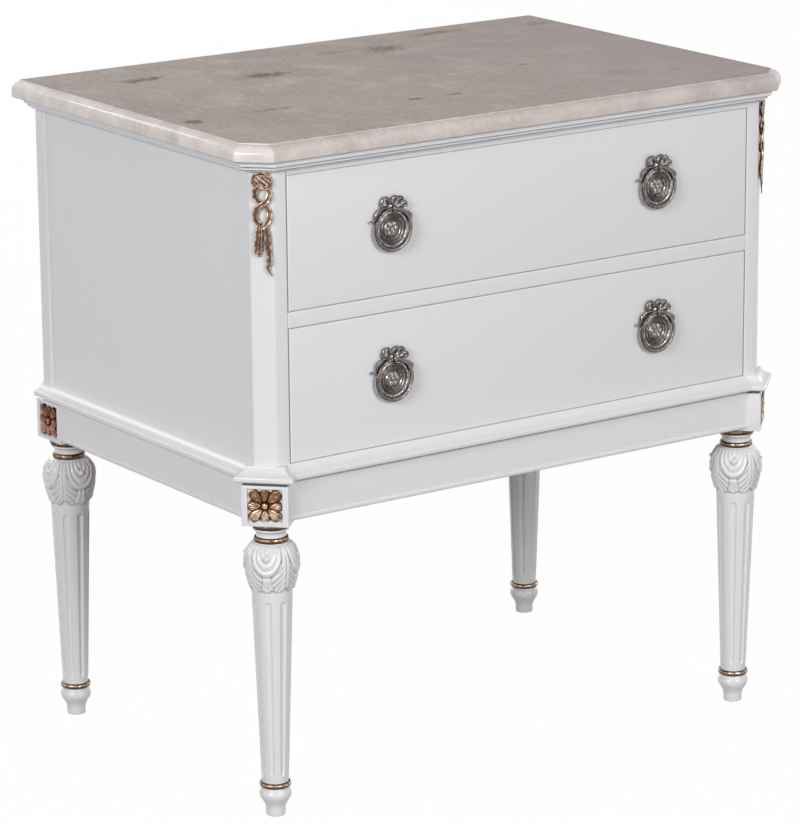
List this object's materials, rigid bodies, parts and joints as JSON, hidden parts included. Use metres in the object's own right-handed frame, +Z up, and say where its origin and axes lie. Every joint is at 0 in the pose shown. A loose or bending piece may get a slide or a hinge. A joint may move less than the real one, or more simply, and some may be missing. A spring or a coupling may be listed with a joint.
{
  "type": "nightstand",
  "caption": "White lacquered neoclassical bedside commode with a stone top, inset drawers on ring pulls, gilt ornaments and turned fluted legs.",
  "frame": {"origin": "on the floor, under the middle of the overall box", "axes": "+Z up, -Y towards the drawer fronts, +X to the right seen from the front"},
  "size_m": [0.696, 0.467, 0.7003],
  "materials": {
    "white_lacquer": "white satin lacquer on wood",
    "polished_stone": "polished warm grey-beige limestone with faint veins and fossil spots",
    "antique_gilt": "antique gilding with dark brown recesses",
    "antique_silver": "antique silver plate with darkened recesses",
    "beech": "plain oiled beech",
    "screw_steel": "zinc-plated steel"
  },
  "bodies": {
    "case": {"stone_top": "polished_stone", "cornice": "white_lacquer", "top_board": "white_lacquer", "post_front_left": "white_lacquer", "post_front_right": "white_lacquer", "post_back_left": "white_lacquer", "post_back_right": "white_lacquer", "side_panel_left": "white_lacquer", "side_panel_right": "white_lacquer", "back_panel": "white_lacquer", "middle_rail": "white_lacquer", "case_bottom": "beech", "runner_upper_left": "beech", "runner_upper_right": "beech", "runner_lower_left": "beech", "runner_lower_right": "beech", "base_moulding_front": "white_lacquer", "base_moulding_left": "white_lacquer", "base_moulding_right": "white_lacquer", "apron_front": "white_lacquer", "apron_left": "white_lacquer", "apron_right": "white_lacquer", "apron_back": "white_lacquer", "corner_block_front_left": "white_lacquer", "corner_block_front_right": "white_lacquer", "corner_block_back_left": "white_lacquer", "corner_block_back_right": "white_lacquer", "leg_front_left": "white_lacquer", "leg_front_right": "white_lacquer", "leg_back_left": "white_lacquer", "leg_back_right": "white_lacquer", "rosette_front_left": "antique_gilt", "rosette_front_right": "antique_gilt", "rosette_back_left": "antique_gilt", "rosette_back_right": "antique_gilt", "ribbon_left": "antique_gilt", "ribbon_right": "antique_gilt"},
    "drawer_upper": {"drawer_upper_front": "white_lacquer", "drawer_upper_side_left": "beech", "drawer_upper_side_right": "beech", "drawer_upper_back": "beech", "drawer_upper_bottom": "beech", "pull_plate_upper_left": "antique_silver", "pull_screw_upper_left": "screw_steel", "pull_plate_upper_right": "antique_silver", "pull_screw_upper_right": "screw_steel"},
    "drawer_lower": {"drawer_lower_front": "white_lacquer", "drawer_lower_side_left": "beech", "drawer_lower_side_right": "beech", "drawer_lower_back": "beech", "drawer_lower_bottom": "beech", "pull_plate_lower_left": "antique_silver", "pull_screw_lower_left": "screw_steel", "pull_plate_lower_right": "antique_silver", "pull_screw_lower_right": "screw_steel"},
    "ring_upper_left": {"pull_ring_upper_left": "antique_silver"},
    "ring_upper_right": {"pull_ring_upper_right": "antique_silver"},
    "ring_lower_left": {"pull_ring_lower_left": "antique_silver"},
    "ring_lower_right": {"pull_ring_lower_right": "antique_silver"}
  },
  "joints": [
    {"name": "drawer_upper_slide", "type": "slide", "parent": "case", "child": "drawer_upper", "axis": [0, -1, 0], "range_m": [0, 0.3]},
    {"name": "drawer_lower_slide", "type": "slide", "parent": "case", "child": "drawer_lower", "axis": [0, -1, 0], "range_m": [0, 0.3]},
    {"name": "ring_upper_left_hinge", "type": "hinge", "parent": "drawer_upper", "child": "ring_upper_left", "pos_m": [-0.168, -0.2145, 0.61725], "axis": [-1, 0, 0], "range_deg": [0, 85]},
    {"name": "ring_upper_right_hinge", "type": "hinge", "parent": "drawer_upper", "child": "ring_upper_right", "pos_m": [0.168, -0.2145, 0.61725], "axis": [-1, 0, 0], "range_deg": [0, 85]},
    {"name": "ring_lower_left_hinge", "type": "hinge", "parent": "drawer_lower", "child": "ring_lower_left", "pos_m": [-0.168, -0.2145, 0.46325], "axis": [-1, 0, 0], "range_deg": [0, 85]},
    {"name": "ring_lower_right_hinge", "type": "hinge", "parent": "drawer_lower", "child": "ring_lower_right", "pos_m": [0.168, -0.2145, 0.46325], "axis": [-1, 0, 0], "range_deg": [0, 85]}
  ]
}
